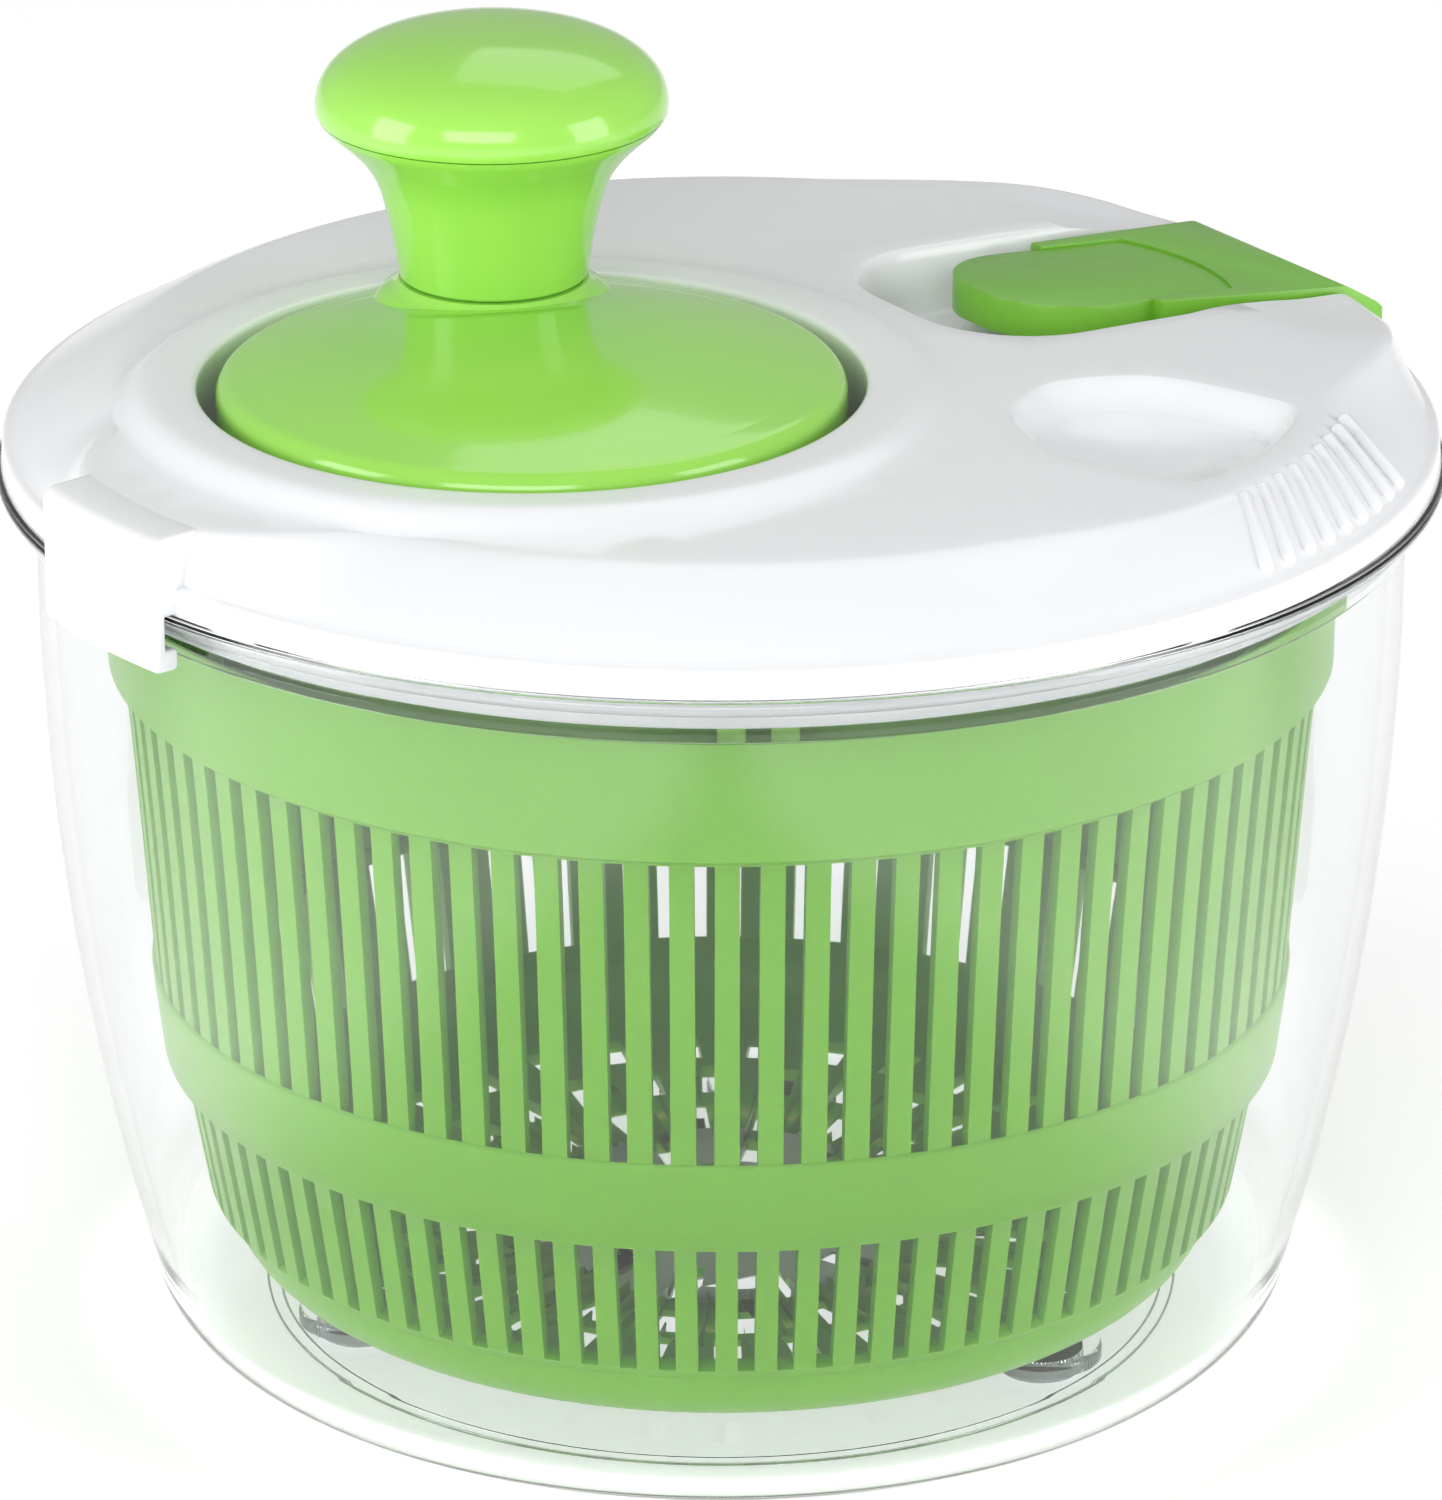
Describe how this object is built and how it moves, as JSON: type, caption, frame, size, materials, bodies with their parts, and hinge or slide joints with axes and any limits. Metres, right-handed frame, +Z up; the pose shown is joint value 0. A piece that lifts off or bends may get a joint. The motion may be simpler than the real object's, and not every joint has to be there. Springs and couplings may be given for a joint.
{
  "type": "salad spinner",
  "caption": "Hand-cranked salad spinner: clear bowl, slotted inner basket, and a white lid with an off-centre crank disc and knob, a gear train and a press latch.",
  "frame": {"origin": "middle of the base, on the surface that the bowl stands on", "axes": "+Z up, +X towards the press latch on the lid, the fixed clip at -X"},
  "size_m": [0.2254, 0.22, 0.2017],
  "materials": {
    "bowl_clear": "clear, glossy",
    "basket_green": "semi-gloss, slightly translucent",
    "lid_white": "gloss",
    "handle_green": "high gloss",
    "foot_rubber": "satin grey rubber",
    "steel": "plain",
    "gear_white": "natural acetal"
  },
  "bodies": {
    "bowl": {"bowl": "bowl_clear", "foot_pad_1": "foot_rubber", "foot_pad_2": "foot_rubber", "foot_pad_3": "foot_rubber"},
    "basket": {"basket": "basket_green"},
    "lid": {"lid_shell": "lid_white", "gear_housing": "lid_white", "housing_screws": "steel", "crank_bush": "gear_white", "spindle_bush": "gear_white", "latch_pin": "steel", "latch_spring": "steel"},
    "crank": {"crank_disc": "handle_green", "ring_gear": "gear_white", "ring_gear_screws": "steel", "crank_washer": "steel", "crank_screw": "steel", "knob_pin": "steel", "knob_washer": "steel", "knob_screw": "steel"},
    "knob": {"knob_body": "handle_green", "knob_cap": "handle_green"},
    "rotor": {"pinion": "gear_white", "rotor_spindle": "steel", "rotor": "lid_white", "rotor_washer": "steel", "rotor_screw": "steel"},
    "latch": {"latch_lever": "handle_green"}
  },
  "joints": [
    {"name": "lid_lift", "type": "slide", "parent": "bowl", "child": "lid", "axis": [0, 0, 1], "range_m": [0, 0.12]},
    {"name": "basket_spin", "type": "hinge", "parent": "bowl", "child": "basket", "pos_m": [0, 0, 0.0136], "axis": [0, 0, 1], "continuous": true},
    {"name": "rotor_spin", "type": "hinge", "parent": "lid", "child": "rotor", "pos_m": [0, 0, 0.1395], "axis": [0, 0, 1], "continuous": true},
    {"name": "crank_spin", "type": "hinge", "parent": "lid", "child": "crank", "pos_m": [-0.03375, 0, 0.1435], "axis": [0, 0, 1], "continuous": true},
    {"name": "knob_spin", "type": "hinge", "parent": "crank", "child": "knob", "pos_m": [-0.02249, 0.02888, 0.17], "axis": [0, 0, 1], "continuous": true},
    {"name": "latch_press", "type": "hinge", "parent": "lid", "child": "latch", "pos_m": [0.096, 0, 0.1475], "axis": [0, -1, 0], "range_deg": [0, 6], "stiffness_Nm_per_rad": 1.5, "springref_deg": -4.58, "deforming": ["latch_spring"]}
  ],
  "couplings": [
    {"joint": "rotor_spin", "follows": "basket_spin", "ratio": 1},
    {"joint": "crank_spin", "follows": "basket_spin", "ratio": 0.19355}
  ]
}
